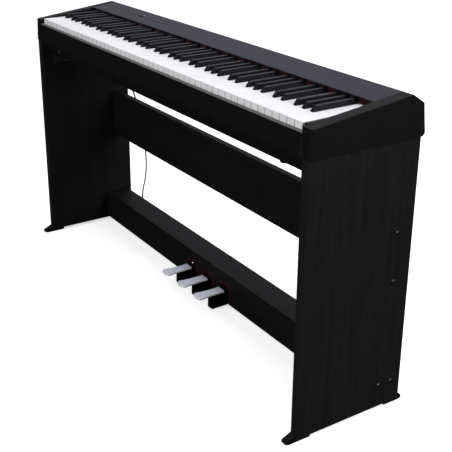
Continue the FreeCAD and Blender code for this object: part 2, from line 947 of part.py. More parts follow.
def key_stop_felts():
    """Felt that a pressed key meets at the front, and felt that its tail rests on."""
    stop_front = ledge_front + felt_inset
    drop = key_dip * (pivot_back - stop_front) / (pivot_back - key_front)
    stop = box(-cheek_inner + felt_inset, cheek_inner - felt_inset, stop_front,
               ledge_rear - felt_inset, deck_z1 + front_ledge,
               key_top - lever_drop - drop - felt_gap - 0.1)
    rest = box(-frame_half, frame_half, key_end - 1.5, frame_rear, rear_ledge,
               key_top - lever_drop - felt_gap)
    return stop, rest


board_thick = 1.6
contact_front = key_front + 90.0
contact_width = 40.0
contact_inset = 5.0
chip_inset = (60.0, 40.0)
chip_side = 30.0
chip_height = 4.0


def contact_board():
    """Long board under the keys that senses each one."""
    return box(-cheek_inner + contact_inset, cheek_inner - contact_inset, contact_front,
               contact_front + contact_width, deck_z1, deck_z1 + board_thick)


def main_board():
    z = belly_bottom + wall + boss_height
    board = box(board_x[0], board_x[1], board_y[0], board_y[1], z, z + board_thick)
    x = board_x[0] + chip_inset[0]
    y = board_y[0] + chip_inset[1]
    chip = box(x, x + chip_side, y, y + chip_side, z + 1, z + chip_height)
    return fuse_all([board, chip])


red_felt_thick = 2.0
notch_side = 1.0
notch_above = 0.7


def red_key_felt():
    """Felt behind the top panel's lip, with a notch over every black key."""
    y0 = case_front + lip_depth + wall
    y1 = y0 + red_felt_thick
    top = slope_height(y0) - wall
    strip = box(key_left, -key_left, y0, y1, key_top + 1.0, top - 0.1)
    half = black_width / 2 + notch_side
    notches = [box(centre - half, centre + half, y0 - 1, y1 + 1, key_top,
                   key_top + black_rise + notch_above) for _, _, centre in black_spans()]
    return strip.cut(Part.makeCompound(notches))


# ---------------------------------------------------------------- write the nodes
right_panel = with_screw_holes(side_panel())
save("right_side_panel", right_panel)
save("left_side_panel", mirrored(right_panel))
toe = foot(panel_front, toe_reach, -1)
heel = foot(panel_rear, heel_reach, 1)
save("stand_feet", mirrored(toe), toe, mirrored(heel), heel)

rail = box(-panel_inner, panel_inner, rail_front, rail_rear, rail_bottom, rail_top)
save("back_rail", with_screw_holes(rail))
lid = box(-panel_inner, panel_inner, beam_front, beam_rear, lid_bottom, beam_top)
save("beam_top_board", lid)
save("beam_front_board", beam_front_board())
save("beam_rear_board", beam_rear_board())
block = with_screw_holes(box(block_end, panel_inner, block_front, beam_rear, beam_bottom, lid_bottom))
save("beam_end_blocks", mirrored(block), block)

screws = [panel_screw(y, z) for y, z in screw_places()]
save("panel_screws", *(screws + [mirrored(s) for s in screws]))
brackets = [case_bracket(y).cut(screw_hole(y)) for y in bracket_ys]
save("case_brackets", *(brackets + [mirrored(b) for b in brackets]))
thumb_screws = [case_screw(y) for y in bracket_ys]
save("case_screws", *(thumb_screws + [mirrored(s) for s in thumb_screws]))

for name, x in zip(("left", "middle", "right"), pedal_xs):
    save("pedal_" + name, pedal(x))
    save("pedal_spring_" + name, pedal_spring(x))
save("pedal_supports", *[pedal_support(x) for x in pedal_xs])
save("pedal_slot_felts", *[slot_felt(x) for x in pedal_xs])
save("pedal_chassis", pedal_chassis())
save("pedal_pivot_pins", *[pivot_pin(x) for x in pedal_xs])
save("pedal_sensor_board", sensor_board())
save("pedal_cable", pedal_cable())
save("pedal_plug", pedal_plug())
save("pedal_socket", pedal_socket())
save("cable_gland", cable_gland())

right_end = end_block()
save("right_end_block", right_end)
save("left_end_block", mirrored(right_end))
save("top_panel", top_panel())
save("front_panel", front_panel())
save("rear_panel", rear_panel())
save("belly_pan", belly_pan())
save("headphone_socket", headphone_socket())
save("dc_inlet", dc_inlet())
right_speaker = speaker()
save("speakers", mirrored(right_speaker), right_speaker)
rubber_pair = [rubber_foot(panel_inner - 102.0, case_front + depth) for depth in (41.0, 236.0)]
save("case_rubber_feet", *([mirrored(f) for f in rubber_pair] + rubber_pair))

save("power_button", button(power_x, power_length))
save("volume_slider", volume_slider())
save("panel_buttons", *[button(x, length) for x, length in row_buttons()])

save("key_frame", key_frame())
save("key_pivot_rod", key_pivot_rod())
save("key_stop_felts", *key_stop_felts())
save("circuit_boards", contact_board(), main_board())
save("red_key_felt", red_key_felt())

whites = {"bass": [], "treble": []}
for letter, octave, left in white_list():
    key = white_key(letter, octave, left)
    if octave == 4:
        save("key_%s4" % letter.lower(), key)
    else:
        whites["bass" if octave < 4 else "treble"].append(key)
blacks = {"bass": [], "treble": []}
for letter, octave, centre in black_spans():
    key = black_key(centre)
    if octave == 4:
        save("key_%s_sharp4" % letter.lower(), key)
    else:
        blacks["bass" if octave < 4 else "treble"].append(key)
for side in ("bass", "treble"):
    save("white_keys_" + side, *whites[side])
    save("black_keys_" + side, *blacks[side])
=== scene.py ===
import math
import bmesh
import bpy
import numpy as np
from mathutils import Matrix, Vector


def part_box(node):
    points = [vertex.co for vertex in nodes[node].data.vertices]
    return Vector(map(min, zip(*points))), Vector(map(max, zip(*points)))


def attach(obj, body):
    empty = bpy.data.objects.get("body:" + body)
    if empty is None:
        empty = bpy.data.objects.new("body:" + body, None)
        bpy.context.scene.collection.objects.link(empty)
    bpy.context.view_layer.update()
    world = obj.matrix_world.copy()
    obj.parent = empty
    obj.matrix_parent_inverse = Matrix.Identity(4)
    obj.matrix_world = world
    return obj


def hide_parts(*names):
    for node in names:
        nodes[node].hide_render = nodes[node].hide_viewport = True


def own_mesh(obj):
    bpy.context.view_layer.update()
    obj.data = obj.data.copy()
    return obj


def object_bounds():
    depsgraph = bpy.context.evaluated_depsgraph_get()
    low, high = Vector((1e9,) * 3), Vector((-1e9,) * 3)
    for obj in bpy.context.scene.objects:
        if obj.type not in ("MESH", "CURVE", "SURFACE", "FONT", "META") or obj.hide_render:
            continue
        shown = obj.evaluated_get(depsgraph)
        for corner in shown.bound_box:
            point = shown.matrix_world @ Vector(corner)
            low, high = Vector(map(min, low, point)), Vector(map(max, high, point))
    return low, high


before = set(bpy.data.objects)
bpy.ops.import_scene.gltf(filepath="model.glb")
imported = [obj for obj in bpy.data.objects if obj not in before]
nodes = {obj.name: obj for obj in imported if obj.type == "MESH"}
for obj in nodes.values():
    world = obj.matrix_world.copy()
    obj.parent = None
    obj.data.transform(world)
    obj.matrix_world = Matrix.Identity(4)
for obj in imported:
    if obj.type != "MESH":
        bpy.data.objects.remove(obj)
# the box that the looks have to stay inside
cadLow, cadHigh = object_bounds()  # the box round the CAD pieces, before anything is added
stand = "stand_and_case"
mm = 0.001
print("frame loaded:", len(nodes), "pieces")


def boxOf(name):
    # lowest and highest corner of a CAD piece, as arrays
    low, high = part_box(name)
    return np.array(low), np.array(high)


# camera: turned to the treble end, looking down on the keys
camera = {
    "azimuth": 57.74,          # degrees round from straight ahead
    "elevation": 20.86,
    "distance": 2.266,
    "aimBeside": (0.039, 0.024),  # aim point's offset from the middle of the object
    "lens": 70.2,
    "sensor": 36,
    "shift": (0.045, -0.100),
    "farthest": 60,
}


def makeCamera():
    turn = math.radians(camera["azimuth"])
    tilt = math.radians(camera["elevation"])
    back = Vector((math.sin(turn) * math.cos(tilt), -math.cos(turn) * math.cos(tilt), math.sin(tilt)))
    middle = (cadLow + cadHigh) / 2
    aim = Vector((*camera["aimBeside"], middle.z))
    data = bpy.data.cameras.new("camera")
    data.lens = camera["lens"]
    data.sensor_width = camera["sensor"]
    data.shift_x, data.shift_y = camera["shift"]
    data.clip_end = camera["farthest"]
    eye = bpy.data.objects.new("camera", data)
    eye.location = aim + back * camera["distance"]
    eye.rotation_euler = (-back).to_track_quat("-Z", "Y").to_euler()
    bpy.context.scene.collection.objects.link(eye)
    bpy.context.scene.camera = eye


makeCamera()
print("camera placed")

# pedal cable: down from the plug under the case, behind the rail, into the beam's strain relief
cable = {
    "diameter": 0.0045,
    "length": 0.485,
    "behindBeam": 14.5 * mm,  # from the beam's rear face to the strain relief's mouth
    "sag": (  # share of the way across from the plug to the strain relief, share of the way down
        (0.000, 0.000),
        (0.000, 0.063),
        (0.240, 0.143),
        (0.612, 0.224),
        (0.832, 0.330),
        (1.018, 0.440),
        (1.170, 0.554),
        (1.271, 0.667),
        (1.288, 0.774),
        (1.186, 0.862),
        (1.000, 0.938),
        (1.000, 1.000),
    ),
}


def cableRoute():
    plugLow, plugHigh = boxOf("pedal_plug")
    glandLow, glandHigh = boxOf("cable_gland")
    x, y = (plugLow[:2] + plugHigh[:2]) / 2
    mouthY = boxOf("beam_rear_board")[1][1] + cable["behindBeam"]
    across, down = np.array(cable["sag"]).T
    top, bottom = plugLow[2], glandHigh[2]
    return np.stack([np.full(len(down), x), y + across * (mouthY - y), top + down * (bottom - top)], 1)


def makeCable(material):
    route = cableRoute()
    curve = bpy.data.curves.new("pedalCable", "CURVE")
    curve.dimensions = "3D"
    curve.bevel_depth = cable["diameter"] / 2
    curve.bevel_resolution = 6
    curve.resolution_u = 16
    curve.use_fill_caps = True
    line = curve.splines.new("NURBS")
    line.points.add(len(route) - 1)
    line.points.foreach_set("co", np.c_[route, np.ones(len(route))].ravel())
    line.order_u = 3
    line.use_endpoint_u = True
    piece = bpy.data.objects.new("pedalCable", curve)
    bpy.context.scene.collection.objects.link(piece)
    curve.materials.append(material)
    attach(piece, stand)
    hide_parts("pedal_cable")


def place(tree, kind, inputs=None, **settings):
    # one node; each input is a plain value or the output that feeds it
    node = tree.nodes.new(kind)
    for name, value in settings.items():
        setattr(node, name, value)
    for name, value in (inputs or {}).items():
        if isinstance(value, bpy.types.NodeSocket):
            tree.links.new(value, node.inputs[name])
        else:
            node.inputs[name].default_value = value
    return node


def mathNode(tree, operation, first, second=0.0, third=0.0):
    return place(tree, "ShaderNodeMath", {0: first, 1: second, 2: third}, operation=operation).outputs[0]


def stretched(tree, vector, scale):
    return place(tree, "ShaderNodeVectorMath", {0: vector, 1: scale}, operation="MULTIPLY").outputs[0]


def noise(tree, vector, scale, detail=2.0, roughness=0.5, distortion=0.0):
    inputs = {"Vector": vector, "Scale": scale, "Detail": detail, "Roughness": roughness,
              "Distortion": distortion}
    return place(tree, "ShaderNodeTexNoise", inputs).outputs["Fac"]


def remap(tree, value, low, high, newLow=0.0, newHigh=1.0, **settings):
    # low becomes newLow and high becomes newHigh
    inputs = {"Value": value, "From Min": low, "From Max": high, "To Min": newLow, "To Max": newHigh}
    return place(tree, "ShaderNodeMapRange", inputs, **settings).outputs[0]


def colourBetween(tree, amount, dark, light):
    # each end is three numbers or the output that feeds it
    ends = [end if isinstance(end, bpy.types.NodeSocket) else (*end, 1.0) for end in (dark, light)]
    return place(tree, "ShaderNodeMix", {0: amount, 6: ends[0], 7: ends[1]}, data_type="RGBA").outputs[2]


def facing(tree, axis):
    # how much the surface faces along x, y or z (0, 1 or 2)
    normal = tree.nodes.new("ShaderNodeNewGeometry").outputs["Normal"]
    return place(tree, "ShaderNodeSeparateXYZ", {0: normal}).outputs[axis]


def newGroup(name, inputs, outputs):
    # inputs: name -> (kind, default); outputs: the names of plain values
    kinds = {"value": "NodeSocketFloat", "vector": "NodeSocketVector"}
    tree = bpy.data.node_groups.new(name, "ShaderNodeTree")
    for label, (kind, default) in inputs.items():
        socket = tree.interface.new_socket(label, in_out="INPUT", socket_type=kinds[kind])
        if default is not None:
            socket.default_value = default
    for label in outputs:
        tree.interface.new_socket(label, in_out="OUTPUT", socket_type=kinds["value"])
    return tree, tree.nodes.new("NodeGroupInput").outputs, tree.nodes.new("NodeGroupOutput").inputs


foilPattern = {
    "pores": 900.0,            # fineness of the pores, the bands and the clouds
    "bands": 120.0,
    "clouds": 9.0,
    "poreEdge": (0.52, 0.66),  # the noise that starts a pore and that reaches its floor
    "tone": (0.38, 0.62),      # the mixed noise that gives the dark and the light shade
}
mouldPattern = {"grit": 2600.0, "clouds": 14.0}
fibrePattern = {"stretches": ((1.0, 0.35, 0.6), (0.3, 1.0, 0.8)), "curl": 2.5}
brushPattern = {"lines": 3000.0, "clouds": 40.0}


def makeGrainGroup():
    # long thin pores of a printed wood foil: noise drawn out along the grain, plus slow shade bands
    tree, given, result = newGroup(
        "foilGrain",
        {"Vector": ("vector", None), "Stretch": ("vector", (1.0, 1.0, 1.0)), "Pore Depth": ("value", 0.5)},
        ("Tone", "Height", "Gloss"))
    along = stretched(tree, given["Vector"], given["Stretch"])
    pores = noise(tree, along, foilPattern["pores"], roughness=0.6)
    bands = noise(tree, along, foilPattern["bands"], detail=3.0, distortion=0.6)
    clouds = noise(tree, given["Vector"], foilPattern["clouds"], detail=3.0)
    cut = mathNode(tree, "MULTIPLY", remap(tree, pores, *foilPattern["poreEdge"]), given["Pore Depth"])
    mixed = mathNode(tree, "MULTIPLY_ADD", bands, 0.4, mathNode(tree, "MULTIPLY", clouds, 0.2))
    mixed = mathNode(tree, "MULTIPLY_ADD", pores, 0.4, mixed)
    tree.links.new(remap(tree, mixed, *foilPattern["tone"]), result["Tone"])
    tree.links.new(mathNode(tree, "SUBTRACT", mathNode(tree, "MULTIPLY", bands, 0.25), cut), result["Height"])
    tree.links.new(mathNode(tree, "MULTIPLY_ADD", clouds, 0.5, mathNode(tree, "MULTIPLY", cut, 0.4)),
                   result["Gloss"])
    return tree


def makeMouldGroup():
    # spark-eroded plastic: fine cells over a slow cloud where hands have polished it
    tree, given, result = newGroup(
        "mouldedTexture", {"Vector": ("vector", None), "Cell Scale": ("value", 1400.0)},
        ("Tone", "Height", "Gloss"))
    cells = place(tree, "ShaderNodeTexVoronoi", {"Vector": given["Vector"], "Scale": given["Cell Scale"]},
                  feature="SMOOTH_F1").outputs["Distance"]
    fine = noise(tree, given["Vector"], mouldPattern["grit"], detail=1.0)
    clouds = noise(tree, given["Vector"], mouldPattern["clouds"], detail=4.0, roughness=0.6)
    tree.links.new(mathNode(tree, "MULTIPLY_ADD", fine, 0.5, cells), result["Height"])
    tree.links.new(mathNode(tree, "MULTIPLY_ADD", cells, 0.4, mathNode(tree, "MULTIPLY", clouds, 0.6)),
                   result["Tone"])
    tree.links.new(clouds, result["Gloss"])
    return tree


def makeFibreGroup():
    # pressed felt: two crossing sets of short curled fibres
    tree, given, result = newGroup(
        "feltFibre", {"Vector": ("vector", None), "Fibre Scale": ("value", 1800.0)}, ("Tone", "Height"))
    one, two = (noise(tree, stretched(tree, given["Vector"], stretch), given["Fibre Scale"], detail=3.0,
                      distortion=fibrePattern["curl"]) for stretch in fibrePattern["stretches"])
    both = mathNode(tree, "MAXIMUM", one, two)
    tree.links.new(both, result["Tone"])
    tree.links.new(both, result["Height"])
    return tree


def makeBrushGroup():
    # fine parallel scratches of a brushed metal, with a slow change of gloss
    tree, given, result = newGroup(
        "brushedLines", {"Vector": ("vector", None), "Stretch": ("vector", (1.0, 0.02, 1.0))},
        ("Height", "Gloss"))
    lines = noise(tree, stretched(tree, given["Vector"], given["Stretch"]), brushPattern["lines"])
    clouds = noise(tree, given["Vector"], brushPattern["clouds"], detail=3.0)
    tree.links.new(lines, result["Height"])
    tree.links.new(mathNode(tree, "MULTIPLY_ADD", lines, 0.5, mathNode(tree, "MULTIPLY", clouds, 0.5)),
                   result["Gloss"])
    return tree


grainGroup = makeGrainGroup()
mouldGroup = makeMouldGroup()
fibreGroup = makeFibreGroup()
brushGroup = makeBrushGroup()

bumps = {  # strength and depth of each kind's fine relief
    "board": (0.5, 0.0005),
    "plastic": (0.25, 0.0002),
    "felt": (0.8, 0.0006),
    "metal": (0.12, 0.0001),
    "circuit": (0.2, 0.0002),
}


def startMaterial(name):
    material = bpy.data.materials.new(name)
    material.use_nodes = True
    tree = material.node_tree
    shader = tree.nodes["Principled BSDF"]
    where = tree.nodes.new("ShaderNodeTexCoord").outputs["Object"]
    return material, tree, shader, where


def setPlain(shader, inputs):
    for name, value in inputs.items():
        shader.inputs[name].default_value = value


def roughnessFrom(tree, shader, amount, low, high):
    tree.links.new(remap(tree, amount, 0.0, 1.0, low, high), shader.inputs["Roughness"])


def bumpFrom(tree, shader, height, strength, distance):
    bump = place(tree, "ShaderNodeBump", {"Height": height, "Strength": strength, "Distance": distance})
    tree.links.new(bump.outputs[0], shader.inputs["Normal"])


boardLook = {
    "dark": (0.0066, 0.0058, 0.0062),
    "light": (0.0122, 0.0108, 0.0114),
    "roughness": (0.46, 0.62),
    "specular": 0.09,
    "poreDepth": 0.8,
}


def boardMaterial(name, stretch, shade=1.0):
    # matt black foil with an open-pore grain that runs where stretch is smallest
    material, tree, shader, where = startMaterial(name)
    # a shade below 1 paints the whole foil darker, as painted shade
    dark, light = (tuple(shade * value for value in boardLook[end]) for end in ("dark", "light"))
    grain = place(tree, "ShaderNodeGroup", {"Vector": where, "Stretch": stretch,
                                            "Pore Depth": boardLook["poreDepth"]}, node_tree=grainGroup)
    colour = colourBetween(tree, grain.outputs["Tone"], dark, light)
    tree.links.new(colour, shader.inputs["Base Color"])
    roughnessFrom(tree, shader, grain.outputs["Gloss"], *boardLook["roughness"])
    bumpFrom(tree, shader, grain.outputs["Height"], *bumps["board"])
    setPlain(shader, {"Specular IOR Level": boardLook["specular"]})
    return material


def plasticMaterial(name, dark, light, roughness, specular=0.3, cellScale=1400.0, tint=(1.0, 1.0, 1.0)):
    material, tree, shader, where = startMaterial(name)
    mould = place(tree, "ShaderNodeGroup", {"Vector": where, "Cell Scale": cellScale}, node_tree=mouldGroup)
    colour = colourBetween(tree, mould.outputs["Tone"], dark, light)
    tree.links.new(colour, shader.inputs["Base Color"])
    roughnessFrom(tree, shader, mould.outputs["Gloss"], *roughness)
    bumpFrom(tree, shader, mould.outputs["Height"], *bumps["plastic"])
    setPlain(shader, {"Specular IOR Level": specular, "Specular Tint": (*tint, 1.0)})
    return material


def feltMaterial(name, dark, light):
    material, tree, shader, where = startMaterial(name)
    felt = place(tree, "ShaderNodeGroup", {"Vector": where}, node_tree=fibreGroup)
    colour = colourBetween(tree, felt.outputs["Tone"], dark, light)
    tree.links.new(colour, shader.inputs["Base Color"])
    bumpFrom(tree, shader, felt.outputs["Height"], *bumps["felt"])
    setPlain(shader, {"Roughness": 0.95, "Specular IOR Level": 0.1, "Sheen Weight": 0.04,
                      "Sheen Roughness": 0.5})
    return material


def metalMaterial(name, dark, light, roughness, stretch=(1.0, 1.0, 1.0), metallic=1.0, rim=None):
    # the scratches run where stretch is smallest;
    # the last argument is a painted highlight: a brighter colour on faces that look sideways, such as the
    # pedal tips' edges
    material, tree, shader, where = startMaterial(name)
    brush = place(tree, "ShaderNodeGroup", {"Vector": where, "Stretch": stretch}, node_tree=brushGroup)
    colour = colourBetween(tree, brush.outputs["Gloss"], dark, light)
    if rim:
        # painted highlight: faces that look sideways get the brighter colour
        sideways = remap(tree, facing(tree, 2), 0.9, 0.5)
        colour = colourBetween(tree, sideways, colour, rim)
    tree.links.new(colour, shader.inputs["Base Color"])
    roughnessFrom(tree, shader, brush.outputs["Gloss"], *roughness)
    bumpFrom(tree, shader, brush.outputs["Height"], *bumps["metal"])
    setPlain(shader, {"Metallic": metallic})
    return material


keyPattern = {
    "clouds": 30.0,
    "grain": 1500.0,
    "grainStretch": (1.0, 0.08, 1.0),
    "grainHeight": 0.0001,
}
# painted shade on the keys' front faces next to the gap between two keys
keyGapShade = {
    "reach": (0.10, 0.02),  # from no shade to full shade, in key pitches from the gap
    "colour": (0.05, 0.05, 0.05),
}
whitePitch = 23.5 * mm


def keyMaterial(name, dark, light, roughness, specular, grainDepth, seam=0.0):
    # every key has a slightly different tone, chosen by its place along the keyboard;
    # the last argument paints shade on the front faces towards the gap between two keys
    material, tree, shader, where = startMaterial(name)
    across = place(tree, "ShaderNodeSeparateXYZ", {0: where}).outputs[0]
    number = mathNode(tree, "DIVIDE", across, whitePitch)
    chance = place(tree, "ShaderNodeTexWhiteNoise", {"W": mathNode(tree, "FLOOR", number)},
                   noise_dimensions="1D").outputs["Value"]
    clouds = noise(tree, where, keyPattern["clouds"], detail=4.0)
    tone = mathNode(tree, "MULTIPLY_ADD", chance, 0.5, mathNode(tree, "MULTIPLY", clouds, 0.5))
    colour = colourBetween(tree, tone, dark, light)
    # painted shade: front faces darker near the gap between two keys
    if seam:
        share = mathNode(tree, "FRACT", number)
        apart = mathNode(tree, "MINIMUM", share, mathNode(tree, "SUBTRACT", 1.0, share))
        near = remap(tree, apart, *keyGapShade["reach"])
        forward = mathNode(tree, "ABSOLUTE", facing(tree, 1))
        shade = mathNode(tree, "MULTIPLY", mathNode(tree, "MULTIPLY", near, forward), seam)
        colour = colourBetween(tree, shade, colour, keyGapShade["colour"])
    tree.links.new(colour, shader.inputs["Base Color"])
    roughnessFrom(tree, shader, clouds, *roughness)
    grain = noise(tree, stretched(tree, where, keyPattern["grainStretch"]), keyPattern["grain"])
    bumpFrom(tree, shader, grain, grainDepth, keyPattern["grainHeight"])
    setPlain(shader, {"Specular IOR Level": specular})
    return material


def circuitMaterial(name):
    # green lacquer over copper tracks, drawn as a brick pattern with thin lines
    material, tree, shader, where = startMaterial(name)
    tracks = place(tree, "ShaderNodeTexBrick", {
        "Vector": where, "Scale": 60.0, "Color1": (0.01, 0.10, 0.04, 1.0), "Color2": (0.012, 0.13, 0.05, 1.0),
        "Mortar": (0.03, 0.22, 0.08, 1.0), "Mortar Size": 0.03}, offset=0.37)
    tree.links.new(tracks.outputs["Color"], shader.inputs["Base Color"])
    bumpFrom(tree, shader, tracks.outputs["Fac"], *bumps["circuit"])
    roughnessFrom(tree, shader, noise(tree, where, 50.0), 0.25, 0.4)
    return material


boards = {
    "boardUpright": {"stretch": (1.0, 1.0, 0.03)},
    # the long boards' foil painted darker, as painted shade for their front faces
    "boardLong": {"stretch": (0.03, 1.0, 1.0), "shade": 0.7},
}
plastics = {
    "casePlastic": {"dark": (0.0020, 0.0020, 0.0025), "light": (0.0038, 0.0038, 0.0046),
                    "roughness": (0.46, 0.58), "specular": 0.12},
    # the case plastic painted lighter and bluer, with a bluish reflection, as painted light from above on the
    # top panel
    "topPlastic": {"dark": (0.0030, 0.0028, 0.0052), "light": (0.0056, 0.0054, 0.0090),
                   "roughness": (0.40, 0.50), "specular": 0.34, "tint": (0.76, 0.74, 1.0)},
    # the case plastic painted light grey, as a painted highlight on the ledge under the keys
    "ledgePlastic": {"dark": (0.06, 0.06, 0.063), "light": (0.095, 0.095, 0.099),
                     "roughness": (0.35, 0.5), "specular": 0.4},
    "buttonPlastic": {"dark": (0.004, 0.004, 0.004), "light": (0.008, 0.008, 0.008),
                      "roughness": (0.3, 0.42), "specular": 0.4},
    "armBlack": {"dark": (0.004, 0.004, 0.004), "light": (0.010, 0.010, 0.010),
                 "roughness": (0.45, 0.6), "specular": 0.2},
    "softRubber": {"dark": (0.01, 0.01, 0.01), "light": (0.02, 0.02, 0.021),
                   "roughness": (0.6, 0.75), "cellScale": 900.0},
    "speakerPaper": {"dark": (0.012, 0.012, 0.012), "light": (0.03, 0.03, 0.03),
                     "roughness": (0.7, 0.9), "specular": 0.2, "cellScale": 700.0},
    "printWhite": {"dark": (0.30, 0.30, 0.31), "light": (0.42, 0.42, 0.43), "roughness": (0.5, 0.6)},
}
metals = {
    "blackSteel": {"dark": (0.01, 0.01, 0.01), "light": (0.022, 0.022, 0.023),
                   "roughness": (0.4, 0.55), "stretch": (1.0, 1.0, 0.1), "metallic": 0.3},
    "frameSteel": {"dark": (0.35, 0.35, 0.36), "light": (0.55, 0.55, 0.57),
                   "roughness": (0.35, 0.5), "stretch": (1.0, 1.0, 0.1)},
    "screwSteel": {"dark": (0.02, 0.02, 0.022), "light": (0.06, 0.06, 0.065), "roughness": (0.35, 0.5)},
    # the pedals' last colour is a painted highlight on faces that look sideways
    "pedalMetal": {"dark": (0.70, 0.72, 0.82), "light": (0.86, 0.88, 0.97), "roughness": (0.3, 0.42),
                   "stretch": (1.0, 0.02, 1.0), "metallic": 0.25, "rim": (1.0, 1.0, 1.0)},
    "springSteel": {"dark": (0.05, 0.05, 0.055), "light": (0.12, 0.12, 0.13), "roughness": (0.35, 0.5)},
    "jackMetal": {"dark": (0.55, 0.54, 0.52), "light": (0.8, 0.79, 0.77), "roughness": (0.15, 0.3)},
}
felts = {
    "redFelt": {"dark": (0.010, 0.0004, 0.0007), "light": (0.050, 0.0016, 0.0026)},
    # the red felt painted darker, as painted shade under the top panel's lip
    "keyFelt": {"dark": (0.005, 0.0002, 0.0003), "light": (0.022, 0.0005, 0.0009)},
    "greyFelt": {"dark": (0.12, 0.12, 0.12), "light": (0.35, 0.35, 0.36)},
}
keys = {
    # the white keys get painted shade on their front faces next to the gaps
    "whiteKeyPlastic": {"dark": (0.72, 0.72, 0.72), "light": (0.80, 0.80, 0.80), "roughness": (0.30, 0.36),
                        "specular": 0.4, "grainDepth": 0.01, "seam": 0.4},
    "blackKeyPlastic": {"dark": (0.0016, 0.0016, 0.0028), "light": (0.0040, 0.0040, 0.0062),
                        "roughness": (0.30, 0.42), "specular": 0.18, "grainDepth": 0.06},
}

finishes = {"circuitGreen": circuitMaterial("circuitGreen")}
for make, looks in ((boardMaterial, boards), (plasticMaterial, plastics), (metalMaterial, metals),
                    (feltMaterial, felts), (keyMaterial, keys)):
    for name, look in looks.items():
        finishes[name] = make(name, **look)
print("materials made:", len(finishes))

rounding = {  # width of the rounded edges and the steps across them
    "board": (0.8 * mm, 3),
    "block": (1.0 * mm, 3),
    "panel": (0.5 * mm, 2),
    "topPanel": (0.4 * mm, 2),
    "slotFelt": (0.6 * mm, 2),
    "keyFelt": (0.3 * mm, 2),
    "control": (0.3 * mm, 2),
    "pedal": (0.8 * mm, 3),
    "key": (0.7 * mm, 2),
}
edges = {
    "merge": 2e-6,         # corners closer than this are one
    "flat": 0.005,         # faces that meet at a smaller angle, in radians, are one
    "sharp": 0.6,          # an edge at a larger angle is sharp
    "shortest": 3.0 * mm,  # a shorter edge isn't rounded
}


def softened(name, finish, body, rounded=None, behind=None):
    # a merged copy of the CAD piece whose long sharp edges are rounded, and which stands for it;
    # behind = (y, second finish) gives the faces further back than y another finish
    mesh = nodes[name].data.copy()
    mesh.materials.clear()
    mesh.materials.append(finishes[finish])
    if behind:
        mesh.materials.append(finishes[behind[1]])
    shape = bmesh.new()
    shape.from_mesh(mesh)
    bmesh.ops.remove_doubles(shape, verts=shape.verts, dist=edges["merge"])
    bmesh.ops.dissolve_limit(shape, angle_limit=edges["flat"], verts=shape.verts, edges=shape.edges)
    weight = shape.edges.layers.float.new("bevel_weight_edge")
    for edge in shape.edges:
        sharp = edge.calc_face_angle(0.0) > edges["sharp"]
        edge.smooth = not sharp
        edge[weight] = float(sharp and len(edge.link_faces) == 2 and edge.calc_length() > edges["shortest"])
    for face in shape.faces:
        face.smooth = True
        face.material_index = int(bool(behind) and face.calc_center_median().y > behind[0])
    shape.to_mesh(mesh)
    shape.free()
    words = name.split("_")
    piece = bpy.data.objects.new(words[0] + "".join(w.capitalize() for w in words[1:]), mesh)
    bpy.context.scene.collection.objects.link(piece)
    if rounded:
        bevel = piece.modifiers.new("softEdges", "BEVEL")
        bevel.limit_method = "WEIGHT"
        bevel.width, bevel.segments = rounding[rounded]
        bevel.use_clamp_overlap = False
    even = piece.modifiers.new("evenNormals", "WEIGHTED_NORMAL")  # large flat faces stay flat
    even.mode = "FACE_AREA"
    even.weight = 100
    even.keep_sharp = True
    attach(piece, body)
    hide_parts(name)
    return piece


def makeSpring(side):
    name = "pedal_spring_" + side
    piece = softened(name, "springSteel", stand)  # round wire, so nothing is rounded
    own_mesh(piece)


def painted(name, finish):
    # a CAD piece that is shown as it is, in its own finish
    data = nodes[name].data
    data.materials.clear()
    data.materials.append(finishes[finish])
    for polygon in data.polygons:
        polygon.material_index = 0


for name in ("left_side_panel", "right_side_panel"):
    softened(name, "boardUpright", stand, "board")
# the long boards get the darker foil, which is painted shade
for name in ("back_rail", "beam_top_board", "beam_front_board", "beam_rear_board"):
    softened(name, "boardLong", stand, "board")
for name in ("left_end_block", "right_end_block"):
    softened(name, "casePlastic", stand, "block")
for name in ("rear_panel", "belly_pan"):
    softened(name, "casePlastic", stand, "panel")

split = {
    "ledge": 2 * mm,    # behind the front panel's front: the ledge under the keys starts, which gets a painted highlight
    "plate": 9.3 * mm,  # in front of the beam: a pedal's bright plate ends and its black arm starts
}
ledgeStart = boxOf("front_panel")[0][1] + split["ledge"]
plateEnd = boxOf("beam_front_board")[0][1] - split["plate"]

# the ledge under the keys gets a painted highlight
softened("front_panel", "casePlastic", stand, "panel", (ledgeStart, "ledgePlastic"))
for name in ("stand_feet", "pedal_supports"):
    softened(name, "casePlastic", stand, "block")
# the top panel's lighter, bluer finish is painted light from above
softened("top_panel", "topPlastic", stand, "topPanel")
softened("pedal_slot_felts", "redFelt", stand, "slotFelt")
# the key felt's darker finish is painted shade under the top panel's lip
softened("red_key_felt", "keyFelt", stand, "keyFelt")
for side in ("left", "middle", "right"):
    makeSpring(side)
for name in ("power_button", "volume_slider", "panel_buttons"):
    softened(name, "buttonPlastic", name + "_body", "control")
# the pedals' sideways faces get a painted highlight from their finish
for name in ("pedal_left", "pedal_middle", "pedal_right"):
    softened(name, "pedalMetal", name + "_body", "pedal", (plateEnd, "armBlack"))
for name in sorted(nodes):
    if name.startswith("key_") and name.endswith("4") or "_keys_" in name:
        shade = "black" if "sharp" in name or "black" in name else "white"
        softened(name, shade + "KeyPlastic", name + "_body", "key")

